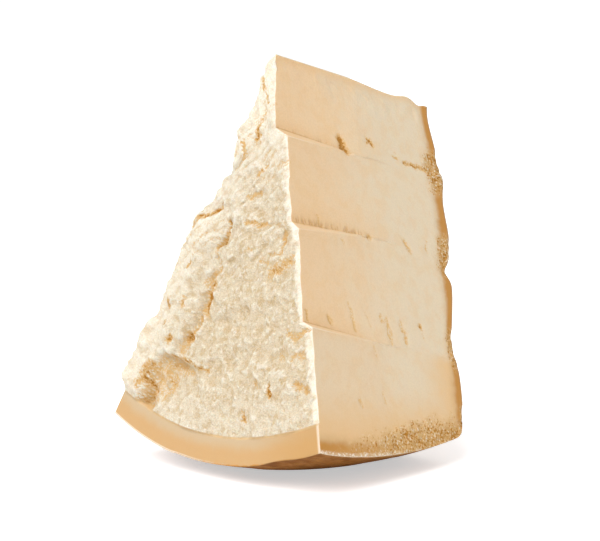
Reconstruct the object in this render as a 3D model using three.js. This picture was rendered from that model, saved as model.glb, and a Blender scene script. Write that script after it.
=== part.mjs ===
// A wedge of hard grating cheese, cut from one half of a drum-shaped wheel. It stands on the wheel's
// convex side rind, with the wheel's centre line as its tip, and leans back on the bulge of that rind.
//
// The wedge is first laid out in the wheel's own frame, in millimetres: the wheel's centre line is the
// Y axis, the face where the wheel was split in half is the plane y = 0, and z points from the side
// rind up to the centre line. Its five faces are
//   split  y = 0, broken open, with a smooth knife-scored band along the side rind
//   cut    the radial face at +HALF_ANGLE, cut by a knife in four strokes that leave ledges
//   back   the radial face at -HALF_ANGLE, broken open, scored along both rinds
//   flat   the wheel's slightly domed flat rind
//   side   the wheel's convex side rind
// A relief in millimetres, positive outwards, is then added to each face, and the solid is tipped and
// set down so that it rests on a small flat spot around the origin, with +Z up.

import * as THREE from "three";
import { mergeVertices } from "three/addons/utils/BufferGeometryUtils.js";

// Driving dimensions of the wheel and the wedge
const WHEEL_RADIUS = 200;
const RIM_DEPTH = 103; // from the split face to the wheel's flat rind, at the rim
const DOME_RISE = 8; // how much farther out the flat rind stands at the wheel's centre
const HALF_ANGLE = THREE.MathUtils.degToRad(22.25);
const SIDE_BULGE = 20.5; // how much smaller the wheel is at its flat face than at mid height
const RIM_ROUND = 4.5; // radius where the side rind turns into the flat one
const SCORE_DEPTH = 13.4; // how deep the knife scored the rind before the cheese was broken
const LEAN = THREE.MathUtils.degToRad(15.2); // how far the wedge leans back where it balances
const REST_Y = 68.5; // where along the wheel's centre line the lowest point of the rind lies
const REST_FLAT_DEPTH = 1.0; // how much of the round rind is pressed flat under the wedge

// Fineness of the faceted surface
const RING_SPACING = 4.1;
const DEPTH_STEPS = 22;
const DEPTH_CROWDING = 1.25; // over 1, the steps are closer together near the split face

// The knife strokes on the cut face. Each stroke runs from one ledge to the next, and its offset from
// the ideal plane is given at the split face, where it starts and where it ends. By the depth where
// the ledges fade out, those two ends have drifted along the face by the distances given last, so a
// ledge is a wide facet at the split face and closes to a line.
const STROKES = [
  { from: 0, to: 36.5, start: -0.4, end: -6.2, fromDrift: 0, toDrift: 5.7 },
  { from: 43.5, to: 86.8, start: 0.9, end: -1.8, fromDrift: -0.5, toDrift: -1.5 },
  { from: 91.6, to: 136.2, start: 2.0, end: -2.4, fromDrift: -5.6, toDrift: 4.0 },
  { from: 140.6, to: 200, start: 3.2, end: 0.6, fromDrift: 0.4, toDrift: 0 },
];
const LEDGE_REACH = 52; // how far in from the split face the ledges fade out
const TIP_WEAR = 1.6; // how far the far half of the tip edge was worn down

// Lip of the hollow in the split face, as distances from the tip to its crest and to its foot. Left of
// LIP_CURL_X it curls down to the scored band and gets wider by LIP_SPREAD for each millimetre.
const LIP_CREST = 155;
const LIP_FOOT = 158.6;
const LIP_CURL_X = -42;
const LIP_CURL = 0.085;
const LIP_SPREAD = 1.4;
const HOLLOW_DEPTH = 6;

const smooth = (a, b, v) => THREE.MathUtils.smoothstep(v, a, b);
const bell = (v) => Math.exp(-v * v);

// Radius of the wheel's side at a depth y behind the split face: a parabola, then a round rim.
function sideRadius(y) {
  const bulged = WHEEL_RADIUS - SIDE_BULGE * (y / RIM_DEPTH) ** 2;
  const intoRim = THREE.MathUtils.clamp((y - RIM_DEPTH + RIM_ROUND) / RIM_ROUND, 0, 1);
  return bulged - RIM_ROUND * (1 - Math.sqrt(1 - intoRim * intoRim));
}

// Depth of the domed flat rind at a share s of the wheel's radius.
const flatDepth = (s) => RIM_DEPTH + DOME_RISE * (1 - s * s);

// A repeatable random number from 0 to 1 for a lattice cell.
function random(i, j, k, seed) {
  const v = Math.sin(i * 127.1 + j * 311.7 + k * 74.7 + seed * 53.3) * 43758.5453;
  return v - Math.floor(v);
}

// Flaky fracture, about -1 to 1: each lattice cell holds one tilted facet at its own height, and
// neighbouring facets meet in short, steep scarps.
function flakes(p, size, seed) {
  const SHARPNESS = 14;
  const q = p.clone().divideScalar(size);
  const cell = q.clone().floor();
  let sum = 0;
  let weights = 0;
  for (let di = -1; di <= 1; di++)
    for (let dj = -1; dj <= 1; dj++)
      for (let dk = -1; dk <= 1; dk++) {
        const i = cell.x + di;
        const j = cell.y + dj;
        const k = cell.z + dk;
        const dx = q.x - i - 0.1 - 0.8 * random(i, j, k, seed);
        const dy = q.y - j - 0.1 - 0.8 * random(i, j, k, seed + 1);
        const dz = q.z - k - 0.1 - 0.8 * random(i, j, k, seed + 2);
        const tilt = (2 * random(i, j, k, seed + 3) - 1) * dx + (2 * random(i, j, k, seed + 4) - 1) * dz;
        const lift = 2 * random(i, j, k, seed + 5) - 1;
        const weight = Math.exp(-SHARPNESS * (dx * dx + dy * dy + dz * dz));
        sum += weight * (0.8 * lift + tilt);
        weights += weight;
      }
  return sum / weights;
}

// The uneven fracture that both broken faces share.
function fracture(p) {
  return 1.7 * flakes(p, 26, 11) + 1.1 * flakes(p, 11, 23);
}

// Split face. x and z are in its plane, and out is towards the viewer.
function splitRelief(p) {
  const { x, z } = p;
  const r = Math.hypot(x, z);
  const fromCut = r * Math.sin(HALF_ANGLE - Math.atan2(x, -z));
  const fromBack = r * Math.sin(HALF_ANGLE + Math.atan2(x, -z));
  const scored = smooth(WHEEL_RADIUS - SCORE_DEPTH - 0.4, WHEEL_RADIUS - SCORE_DEPTH + 0.4, r);

  // A slab on the left still stands proud. Its right side drops to a crooked crack, and its upper part
  // rounds off into the corner on its left.
  const down = -85 - z;
  const crackX = -11.6 - 0.12 * down - 0.003 * down * down;
  const slabLength = smooth(76, 92, r) * (1 - smooth(180, 187, r));
  const roundOff = 0.75 * bell(fromBack / 9) * (1 - smooth(143, 150, r));
  const rise = 0.3 * smooth(-1, 4, crackX - x) + 0.7 * smooth(0, 22, crackX - x);
  const slab = 4.4 * rise * slabLength * (1 - roundOff);
  const crack = -1 * bell((x - crackX - 1.5) / 3.4) * smooth(80, 88, r) * (1 - smooth(146, 152, r));

  // Under the slab a lump has broken out, below a lip that is steep above and runs out downwards and
  // to the right.
  const curled = Math.max(0, LIP_CURL_X - x);
  const past = r - LIP_CREST - LIP_CURL * curled ** 2;
  const run = LIP_FOOT - LIP_CREST + LIP_SPREAD * curled;
  const fall = smooth(0, run, past) * bell(Math.max(0, past - run) / 17);
  const hollow = -HOLLOW_DEPTH * (1 - smooth(-34, -6, x)) * fall;

  // A ridge runs down the left side of the tip.
  const ridge = 1.8 * bell((x + 15.5 + 0.11 * z) / 5) * smooth(28, 45, r) * (1 - smooth(74, 90, r));

  const calm = 0.35 + 0.65 * smooth(0, 9, fromCut);
  const rough = 0.7 + calm * fracture(p) + slab + crack + hollow + ridge;
  return (1 - scored) * rough;
}

// The corner between the split face and the back face has crumbled and bulged along its length.
const CORNER_CHIPS = [
  { at: 10, out: -1.2, width: 5 },
  { at: 30, out: 1.4, width: 5 },
  { at: 42, out: 3.4, width: 5 },
  { at: 56, out: -7, width: 8 },
  { at: 76.5, out: -4, width: 6.5 },
  { at: 90, out: 3, width: 7 },
  { at: 122, out: -1, width: 14 },
  { at: 150.5, out: 2.6, width: 5 },
  { at: 168, out: 3.6, width: 7 },
  { at: 186, out: -2.6, width: 3.5 },
];
const CHIP_REACH = 26; // how far the chips run back from the split face

// Back face. It is scored along the side rind and along the flat rind.
function backRelief(p) {
  const r = Math.hypot(p.x, p.z);
  const toSide = sideRadius(Math.min(p.y, RIM_DEPTH - RIM_ROUND)) - r;
  const toRind = Math.min(toSide, flatDepth(r / WHEEL_RADIUS) - p.y);
  const scored = 1 - smooth(SCORE_DEPTH - 0.4, SCORE_DEPTH + 0.4, toRind);
  const chips = CORNER_CHIPS.reduce((sum, c) => sum + c.out * bell((r - c.at) / c.width), 0);
  const broken = 0.6 + fracture(p) + chips * bell(p.y / CHIP_REACH);
  return (1 - scored) * broken * smooth(0, 12, r);
}

// Cut face. r is the distance from the tip and y the distance from the split face. A value that is
// given at both ends of each stroke runs straight between them.
function alongStrokes(r, atStart, atEnd) {
  const knots = STROKES.flatMap((s) => [[s.from, s[atStart]], [s.to, s[atEnd]]]);
  const next = Math.max(1, knots.findIndex((k) => k[0] >= r));
  const [a, b] = [knots[next - 1], knots[next]];
  return THREE.MathUtils.mapLinear(r, a[0], b[0], a[1], b[1]);
}
const cutRelief = (r, y) => alongStrokes(r, "start", "end") * Math.max(0, 1 - y / LEDGE_REACH);
const cutDrift = (r, y) =>
  alongStrokes(r, "fromDrift", "toDrift") * Math.min(1, y / LEDGE_REACH) * (1 - smooth(60, 95, y));

// Flat rind: gently uneven, and chipped along the cut face where the knife came out.
const RIND_CHIPS = [
  { at: 10, out: -3.2, width: 14 },
  { at: 43.5, out: 3.8, width: 7 },
  { at: 76, out: 1.8, width: 14 },
  { at: 94, out: -4, width: 4.5 },
  { at: 127, out: -3.4, width: 18 },
];
function flatRelief(p) {
  const r = Math.hypot(p.x, p.z);
  const fromCut = r * Math.sin(HALF_ANGLE - Math.atan2(p.x, -p.z));
  const chips = RIND_CHIPS.reduce((sum, c) => sum + c.out * bell((r - c.at) / c.width), 0);
  return chips * bell(fromCut / 14) + 0.5 * flakes(p, 45, 61);
}

// Side rind: nearly true, and chipped where the knife came out next to the cut face.
function sideRelief(p) {
  const across = Math.atan2(p.x, -p.z) * WHEEL_RADIUS;
  const chip = -1.4 * bell((across - 50) / 13) * bell(p.y / 6);
  return chip + 0.35 * flakes(p, 38, 71);
}

// How much of a face's relief a point takes at a distance s below that face.
const REACH = 7;
const share = (s) => bell(s / REACH);

const CUT_ALONG = new THREE.Vector3(Math.sin(HALF_ANGLE), 0, -Math.cos(HALF_ANGLE));
const CUT_OUT = new THREE.Vector3(Math.cos(HALF_ANGLE), 0, Math.sin(HALF_ANGLE));
const BACK_OUT = new THREE.Vector3(-Math.cos(HALF_ANGLE), 0, Math.sin(HALF_ANGLE));

// The far end of the tip edge still has a proud piece, and beyond it a small one is missing.
const TIP_CHIPS = [
  { at: 92, out: 1.6, width: 6 },
  { at: 102, out: -1, width: 4 },
];

// Moves a point of the ideal wedge out by the relief of every face that it lies on or near.
function withRelief(p) {
  const r = Math.hypot(p.x, p.z);
  const phi = r > 0 ? Math.atan2(p.x, -p.z) : 0;
  const underCut = r * Math.sin(HALF_ANGLE - phi);
  const underBack = r * Math.sin(HALF_ANGLE + phi);
  const alongCut = r * Math.cos(HALF_ANGLE - phi);
  const radial = new THREE.Vector3(Math.sin(phi), 0, -Math.cos(phi));
  const moved = p.clone();
  moved.y -= splitRelief(p) * share(p.y);
  moved.y += flatRelief(p) * share(flatDepth(r / WHEEL_RADIUS) - p.y);
  moved.addScaledVector(CUT_OUT, cutRelief(alongCut, p.y) * share(underCut));
  moved.addScaledVector(CUT_ALONG, cutDrift(alongCut, p.y) * share(underCut));
  moved.addScaledVector(BACK_OUT, backRelief(p) * share(underBack));
  moved.addScaledVector(radial, sideRelief(p) * share(sideRadius(p.y) - r));
  const chips = TIP_CHIPS.reduce((sum, c) => sum + c.out * bell((p.y - c.at) / c.width), 0);
  moved.z += (chips - TIP_WEAR * smooth(45, 80, p.y)) * bell(r / 9);
  return moved;
}

// Distances from the tip at which the mesh has a ring: the ends of the knife strokes and the edge of
// the scored band, with evenly spaced rings between them.
function ringRadii() {
  const ends = STROKES.flatMap((s) => [s.from, s.to]);
  const edges = [...ends, LIP_CREST, LIP_FOOT, WHEEL_RADIUS - SCORE_DEPTH];
  const breaks = [...new Set(edges)].sort((a, b) => a - b);
  const radii = [0];
  for (let b = 1; b < breaks.length; b++) {
    const span = breaks[b] - breaks[b - 1];
    const steps = Math.max(1, Math.round(span / RING_SPACING));
    for (let s = 1; s <= steps; s++) radii.push(breaks[b - 1] + (span * s) / steps);
  }
  return radii;
}

const RADII = ringRadii();
const RINGS = RADII.length - 1;
const DEPTHS = Array.from({ length: DEPTH_STEPS + 1 }, (_, k) =>
  (k / DEPTH_STEPS) ** DEPTH_CROWDING);

// A point of the ideal wedge on ring i, at an angle from -HALF_ANGLE to HALF_ANGLE, and at a depth
// from 0 on the split face to 1 on the flat rind. The rings follow the side rind where it curves in.
function ideal(i, phi, depth) {
  const s = RADII[i] / WHEEL_RADIUS;
  const y = depth * flatDepth(s);
  const r = RADII[i] - (WHEEL_RADIUS - sideRadius(depth * RIM_DEPTH)) * s ** 6;
  return new THREE.Vector3(r * Math.sin(phi), y, -r * Math.cos(phi));
}

// The triangles of a sector face. Ring i carries i + 1 points, so they stay evenly spaced.
function sectorTriangles(depth) {
  const at = (i, j) => ideal(i, i ? HALF_ANGLE * ((2 * j) / i - 1) : 0, depth);
  const triangles = [];
  for (let i = 0; i < RINGS; i++)
    for (let j = 0; j <= i; j++) {
      triangles.push([at(i, j), at(i + 1, j), at(i + 1, j + 1)]);
      if (j < i) triangles.push([at(i, j), at(i + 1, j + 1), at(i, j + 1)]);
    }
  return triangles;
}

// The triangles of a face that runs from the split face to the flat rind, over a grid of steps.
function sweptTriangles(steps, at) {
  const triangles = [];
  for (let i = 0; i < steps; i++)
    for (let k = 0; k < DEPTH_STEPS; k++) {
      const [a, b, c, d] = [at(i, k), at(i + 1, k), at(i + 1, k + 1), at(i, k + 1)];
      triangles.push([a, b, c], [a, c, d]);
    }
  return triangles;
}

// Tips the wedge back and sets it down, pressing the rind flat where it stands.
function stand(p) {
  const lowest = new THREE.Vector3(0, REST_Y, -sideRadius(REST_Y));
  const placed = p.clone().sub(lowest).applyAxisAngle(new THREE.Vector3(1, 0, 0), -LEAN);
  placed.z = Math.max(placed.z - REST_FLAT_DEPTH, 0);
  return placed;
}

function wedgeGeometry() {
  const turned = (triangles) => triangles.map(([a, b, c]) => [a, c, b]);
  const radialFace = (phi) => sweptTriangles(RINGS, (i, k) => ideal(i, phi, DEPTHS[k]));
  const sideFace = sweptTriangles(RINGS, (j, k) =>
    ideal(RINGS, HALF_ANGLE * ((2 * j) / RINGS - 1), DEPTHS[k]));
  const triangles = [
    ...sectorTriangles(0),
    ...turned(sectorTriangles(1)),
    ...radialFace(HALF_ANGLE),
    ...turned(radialFace(-HALF_ANGLE)),
    ...turned(sideFace),
  ];
  const corners = triangles.flat().flatMap((p) => stand(withRelief(p)).toArray());
  const loose = new THREE.BufferGeometry();
  loose.setAttribute("position", new THREE.Float32BufferAttribute(corners, 3));
  const merged = mergeVertices(loose, 1e-3);
  merged.computeVertexNormals();
  return merged;
}

// Pale straw paste. The rind's golden brown belongs to the same piece.
const paste = new THREE.MeshStandardMaterial({ color: 0xe6cfa8, roughness: 0.75, metalness: 0 });

const wedge = new THREE.Mesh(wedgeGeometry(), paste);
wedge.name = "cheese_wedge";

const cheese = new THREE.Group();
cheese.add(wedge);

export default cheese;
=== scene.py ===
"""A wedge of aged hard cheese on a pale floor: its broken face, its stepped knife cut and its rind.

The wedge is laid out in millimetres in the frame of the wheel that it came from. The wheel's centre
line is the Y axis, the face where the wheel was split in half is the plane y = 0, and z points from
the side rind up to the centre line. Each face gets its relief there, and then the wedge is tipped
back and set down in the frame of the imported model.
"""

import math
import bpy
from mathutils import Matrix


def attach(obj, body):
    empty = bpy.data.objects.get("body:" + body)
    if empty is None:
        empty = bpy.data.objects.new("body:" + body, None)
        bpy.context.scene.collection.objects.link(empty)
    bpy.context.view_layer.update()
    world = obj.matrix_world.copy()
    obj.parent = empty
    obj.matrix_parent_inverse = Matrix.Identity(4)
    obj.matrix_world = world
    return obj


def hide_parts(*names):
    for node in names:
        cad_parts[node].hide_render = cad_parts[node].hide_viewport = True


bl_info = {
    "name": "Aged Cheese Wedge",
    "version": (1, 0, 0),
    "blender": (4, 5, 0),
    "location": "View3D > Sidebar > Cheese",
    "description": "Builds a broken and knife-cut wedge of aged hard cheese and its studio stage",
    "category": "Add Mesh",
}

from types import SimpleNamespace

import bpy
import numpy as np
from bpy.props import FloatProperty, FloatVectorProperty, IntProperty, PointerProperty
from bpy.types import Operator, Panel, PropertyGroup

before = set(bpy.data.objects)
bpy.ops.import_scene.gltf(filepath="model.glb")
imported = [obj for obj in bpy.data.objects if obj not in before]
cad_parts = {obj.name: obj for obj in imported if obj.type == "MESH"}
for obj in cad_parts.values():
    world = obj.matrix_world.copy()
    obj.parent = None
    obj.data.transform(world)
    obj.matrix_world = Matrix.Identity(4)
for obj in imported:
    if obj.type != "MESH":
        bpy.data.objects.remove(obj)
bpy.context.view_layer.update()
NODE = "cheese_wedge"

MM = 1000.0  # millimetres in a metre
TINY = 1e-12  # keeps a division off zero

# In millimetres, as all that follows
FACE_REACH = 7.0  # how far below a face its relief reaches
FACE_SKIN = 1.5  # how far below a face its stains reach
SCORE_EASE = 0.4  # half width of the step from the scored rind to the open paste
CRUMB_EASE = 0.3  # the same for the fine relief, so that it ends first
LAST_STROKE = (137, 146)  # where the cut turns into its last stroke, as seen in its colour
ROW_GROWTH = 1.2  # above 1, the rows stand closer together towards the split face
# Blurred surfaces that the hollows are measured from: passes, and the depth that counts as full
FINE_BLUR, BROAD_BLUR = (3, 0.35), (20, 1.6)

# Knife strokes on the cut face, two lines each, for where a stroke starts and where it ends: the
# distance from the tip, the offset from the ideal plane at the split face, and how far that end has
# drifted along the face by the depth where the ledges fade out
STROKES = (
    (0.0, -0.4, 0.0), (36.5, -6.2, 5.7),
    (43.5, 0.9, -0.5), (86.8, -1.8, -1.5),
    (91.6, 2.0, -5.6), (136.2, -2.4, 4.0),
    (140.6, 3.2, 0.4), (200.0, 0.6, 0.0),
)
# The ledges between the strokes, from the valley above each to its lower edge
LEDGES = tuple((a[0], b[0]) for a, b in zip(STROKES[1::2], STROKES[2::2]))
# How much the knife dragged the paste above each ledge
PRESSED = (0.6, 1.0, 0.5)
# Chips and bulges of the corner between the broken face and the back: where, how far out, how wide
CORNER_CHIPS = (
    (10, -1.2, 5), (30, 1.4, 5), (42, 3.4, 5), (56, -7, 8), (76.5, -4, 6.5), (90, 3, 7),
    (122, -1, 14), (150.5, 2.6, 5), (168, 3.6, 7), (186, -2.6, 3.5),
)
# Chips and bulges of the flat rind along the cut face
RIND_CHIPS = ((10, -3.2, 14), (43.5, 3.8, 7), (76, 1.8, 14), (94, -4, 4.5), (127, -3.4, 18))
# The proud piece at the far end of the tip edge, and the missing one beyond it
TIP_CHIPS = ((92, 1.6, 6), (102, -1, 4))
# Facets of the coarse fracture: their size, their seed and their height
FRACTURE = ((26.0, 11, 1.7), (11.0, 23, 1.1))
# The slab that stands proud on the left of the broken front, the crack along its edge, and the
# ridge between the slab and the tip
SLAB_HEIGHT, CRACK_DEPTH, RIDGE_HEIGHT = 4.4, 1.0, 1.8
# Lip of the hollow in the broken front: its crest and its foot, how it curls down and gets wider on
# the left, how deep the hollow is and how far it runs out below
LIP_CREST, LIP_FOOT = 155.0, 158.6
LIP_CURL_X, LIP_CURL, LIP_SPREAD = -42.0, 0.085, 1.4
HOLLOW_DEPTH, HOLLOW_REACH = 6.0, 17.0

# Cracks, pits and brown streaks of the broken front, each a line from x, z to x, z, with its half
# width, its depth and how brown it is, over 1 for a core that is dark all over
FRONT_MARKS = (
    # near the tip
    (-2.6, -13.0, -1.4, -18.0, 1.0, 0.4, 0.8), (0.8, -18.5, 4.4, -23.5, 0.8, 0.4, 0.7),
    (2.0, -27.0, -1.9, -33.7, 1.3, 0.5, 0.5), (-2.6, -36.0, -3.6, -42.5, 1.3, 0.9, 0.95),
    (-11.7, -44.3, -9.8, -51.7, 1.5, 0.6, 0.6), (4.3, -57.7, 2.7, -60.2, 0.9, 0.7, 0.9),
    (7.8, -54.6, 7.2, -56.0, 0.7, 0.5, 0.7), (-1.1, -71.1, 6.2, -68.4, 1.3, 0.6, 0.6),
    # along the slab
    (-20.4, -75.5, -24.5, -79.5, 1.5, 1.5, 0.9), (-24.5, -79.5, -30.1, -83.4, 1.1, 1.4, 1.0),
    (-30.1, -83.4, -38.0, -91.4, 0.9, 1.0, 0.7), (-11.2, -83.4, -12.9, -92.4, 0.8, 1.8, 1.0),
    (-12.9, -92.4, -15.6, -98.0, 0.8, 1.6, 0.9), (-15.6, -98.0, -13.5, -104.0, 0.8, 0.9, 0.45),
    (-11.7, -107.2, -16.7, -111.0, 1.6, 0.9, 0.55), (-16.7, -111.0, -21.0, -114.8, 1.4, 0.9, 0.5),
    (-15.4, -115.0, -17.0, -120.5, 2.6, 1.3, 1.15), (-17.6, -123.0, -18.8, -128.0, 2.3, 1.3, 1.0),
    (-20.7, -132.0, -24.4, -139.3, 1.4, 1.6, 0.6), (-25.2, -141.0, -26.6, -143.0, 2.4, 1.9, 1.0),
    (-27.5, -145.0, -30.5, -149.0, 2.3, 1.0, 0.5), (-33.4, -108.7, -32.1, -104.6, 1.0, 0.8, 0.8),
    (-43.2, -126.4, -43.2, -127.6, 1.7, 1.2, 0.9), (-32.7, -125.0, -32.7, -126.2, 1.6, 1.2, 0.9),
    (-43.6, -137.1, -43.4, -137.5, 1.0, 1.5, 1.0), (-38.9, -142.7, -38.5, -144.7, 1.4, 1.0, 0.9),
    # under the lip, where the brown partly paints the lip's shadow
    (-38.0, -152.2, -27.9, -153.0, 1.1, 0.9, 0.8), (-27.9, -153.0, -19.7, -155.2, 0.8, 0.9, 0.95),
    (-19.7, -155.2, -9.5, -157.0, 0.7, 0.8, 0.9), (-50.5, -157.0, -57.5, -168.0, 1.8, 0.6, 0.8),
    (-54.0, -164.0, -49.0, -171.0, 1.6, 1.0, 0.9), (-50.0, -171.0, -58.0, -178.0, 2.8, 0.7, 0.7),
    (-40.0, -156.0, -30.0, -157.5, 2.6, 0.3, 0.6), (-30.0, -157.5, -22.0, -158.5, 1.6, 0.3, 0.55),
    # on the right
    (2.0, -83.2, 14.0, -83.6, 1.0, 0.9, 0.8), (14.0, -83.6, 30.6, -83.2, 0.8, 0.4, 0.3),
    (28.3, -85.0, 28.9, -96.2, 1.0, 0.8, 0.65), (28.9, -96.2, 20.1, -97.7, 0.9, 0.5, 0.55),
    (34.8, -100.1, 23.8, -106.6, 2.2, 0.9, 0.75), (41.7, -133.2, 47.5, -134.8, 1.4, 0.8, 0.65),
    (47.5, -134.8, 52.9, -131.6, 1.2, 0.8, 0.6), (38.3, -144.8, 41.0, -144.5, 1.8, 0.6, 0.5),
    (48.0, -144.0, 53.7, -143.2, 1.6, 0.6, 0.5), (36.1, -158.2, 38.3, -164.1, 0.9, 1.4, 1.0),
    (53.6, -156.3, 59.6, -158.8, 1.7, 1.0, 0.65), (20.1, -175.2, 20.1, -176.4, 1.7, 1.4, 0.9),
    (26.6, -159.0, 26.6, -159.8, 1.3, 0.9, 0.7), (6.8, -96.1, 9.0, -96.6, 1.1, 0.5, 0.45),
    (15.1, -100.5, 19.6, -101.1, 1.3, 0.6, 0.45),
)
# White crumbs that stand proud on the broken front: x, z, half width, height
FRONT_CRUMBS = ((-19.1, -139.3, 1.5, 1.3), (-1.6, -42.0, 0.9, 0.8), (-14.3, -99.5, 0.8, 0.7))
# Marks of the cut, as on the front, in distance from the tip and depth behind the split face
CUT_MARKS = (
    (35.0, 39.4, 39.0, 41.6, 1.5, 1.9, 1.4), (39.0, 40.8, 41.4, 42.8, 2.0, 2.2, 1.5),
    (31.2, 57.2, 34.4, 61.8, 0.9, 0.8, 1.2), (34.4, 57.6, 32.0, 61.0, 0.8, 0.7, 1.0),
    (37.5, 76.0, 38.4, 79.0, 0.8, 0.7, 0.6),
    (39.0, 84.0, 39.4, 103.0, 1.1, 0.8, 0.9), (34.5, 78.0, 38.0, 77.6, 0.6, 0.4, 0.4),
    (130.4, 2.7, 135.4, 3.0, 0.9, 0.8, 0.75), (131.0, 17.2, 134.8, 18.6, 0.9, 0.9, 0.75),
    (122.9, 31.5, 130.0, 33.0, 0.8, 0.4, 0.4), (130.0, 33.0, 136.2, 34.4, 0.9, 0.6, 0.55),
    (126.0, 42.0, 132.0, 45.0, 0.8, 0.3, 0.3), (126.5, 52.6, 128.4, 53.0, 1.2, 0.6, 0.55),
    (127.0, 56.0, 135.0, 56.4, 0.9, 0.6, 0.6), (133.0, 58.4, 139.5, 57.0, 0.9, 0.5, 0.5),
    (127.0, 66.2, 138.0, 69.2, 1.1, 0.6, 0.55), (127.0, 80.2, 127.9, 80.8, 1.1, 1.0, 0.9),
    (129.0, 81.0, 133.0, 82.0, 0.8, 0.4, 0.4), (85.3, 50.4, 86.2, 50.9, 1.4, 1.5, 0.9),
    (86.0, 47.0, 86.2, 49.0, 0.7, 0.4, 0.4), (82.4, 76.0, 88.0, 80.0, 0.9, 0.8, 0.65),
    (80.0, 93.0, 86.0, 92.4, 0.8, 0.7, 0.6), (90.6, 30.4, 92.4, 31.6, 0.8, 0.5, 0.5),
    (80.6, 17.0, 86.0, 17.8, 0.7, 0.5, 0.6), (143.0, 44.0, 147.0, 45.0, 1.0, 0.3, 0.3),
    (171.0, 30.0, 174.0, 31.0, 1.0, 0.5, 0.5), (166.0, 47.0, 170.0, 48.0, 1.0, 0.5, 0.45),
)
# Where the flat rind has crumbled along the cut face, as distances from the tip
CRUMBLED = ((29.0, 49.0), (77.0, 94.0), (127.0, 145.0))
# Numbers of the three finishes
BROKEN, CUT, RIND = 0, 1, 2
# The way in which the streaks near the tip were torn
STREAK_WAY = (-0.72, -0.69)
# The leaf at the top of the slab: its middle, its direction, its half length and half width, and
# the distance between its ridges
LEAF = (-27.0, -93.0)
LEAF_WAY = (-0.83, -0.56)
LEAF_SIZE = (19.0, 9.5)
LEAF_RIDGES = 4.6


# --- Sizes and colours ---


def length(name, description, default, low, high):
    """A length in metres."""
    return FloatProperty(name=name, description=description, default=default, min=low, max=high,
                         subtype="DISTANCE", unit="LENGTH")


def angle(name, description, degrees, low, high):
    """An angle in radians, its default given in degrees."""
    return FloatProperty(name=name, description=description, default=math.radians(degrees),
                         min=low, max=high, subtype="ANGLE", unit="ROTATION")


def strength(name, description, default, high):
    """A plain number from 0 up."""
    return FloatProperty(name=name, description=description, default=default, min=0.0, max=high)


def colour(name, description, value):
    """A scene-linear colour."""
    return FloatVectorProperty(name=name, description=description, default=value, size=3,
                               min=0.0, max=1.0, subtype="COLOR")


class WheelSizes(PropertyGroup):
    """The wheel and the wedge cut from it."""

    radius: length("Wheel radius", "Radius of the wheel at its split face", 0.2, 0.1, 0.3)
    half_angle: angle("Half angle", "Half of the wedge's angle at the tip", 22.25, 0.2, 0.8)
    rim_depth: length(
        "Rim depth", "From the split face to the flat rind, at the rim", 0.103, 0.05, 0.2)
    dome: length(
        "Dome", "How much farther out the flat rind stands at the wheel's centre",
        0.008, 0.0, 0.03)
    bulge: length(
        "Side bulge", "How much smaller the wheel is at its flat face", 0.0205, 0.0, 0.05)
    rim_round: length(
        "Rim rounding", "Radius where the side rind turns into the flat one",
        0.0045, 0.001, 0.02)
    score_depth: length(
        "Score depth", "How deep the knife scored the rind before the break",
        0.0134, 0.002, 0.03)
    lean: angle("Lean", "How far the wedge leans back where it balances", 15.2, 0.0, 0.6)
    rest_depth: length(
        "Rest depth", "Where along the wheel's centre line the wedge touches down",
        0.0685, 0.0, 0.1)
    rest_flat: length(
        "Rest flat", "How much of the round rind is pressed flat below", 0.001, 0.0, 0.003)
    ledge_reach: length(
        "Ledge reach", "How far in from the split face the ledges fade out", 0.052, 0.01, 0.1)
    tip_wear: length(
        "Tip wear", "How far the far half of the tip edge was worn down", 0.0016, 0.0, 0.01)
    ring_spacing: length(
        "Ring spacing", "Distance between two rings of the fine surface",
        0.00078, 0.0006, 0.004)
    rows: IntProperty(
        name="Rows", description="Rows of the fine surface from the split face to the flat rind",
        default=96, min=12, max=120)


class CrumbSizes(PropertyGroup):
    """Relief of the broken paste, finer than the solid's own."""

    flake: length("Flake height", "Height of the flakes, 5 mm across", 0.00034, 0.0, 0.003)
    chip: length("Chip height", "Height of the chips, 2 to 3 mm across", 0.00038, 0.0, 0.002)
    crumb: length(
        "Crumb height", "Height of the loose crumbs that still cling", 0.00035, 0.0, 0.002)
    pit: length(
        "Pit depth", "Depth of the scattered pits where crumbs fell out", 0.0011, 0.0, 0.004)
    streak: length(
        "Streak height", "Height of the torn streaks near the tip", 0.0005, 0.0, 0.002)


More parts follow.
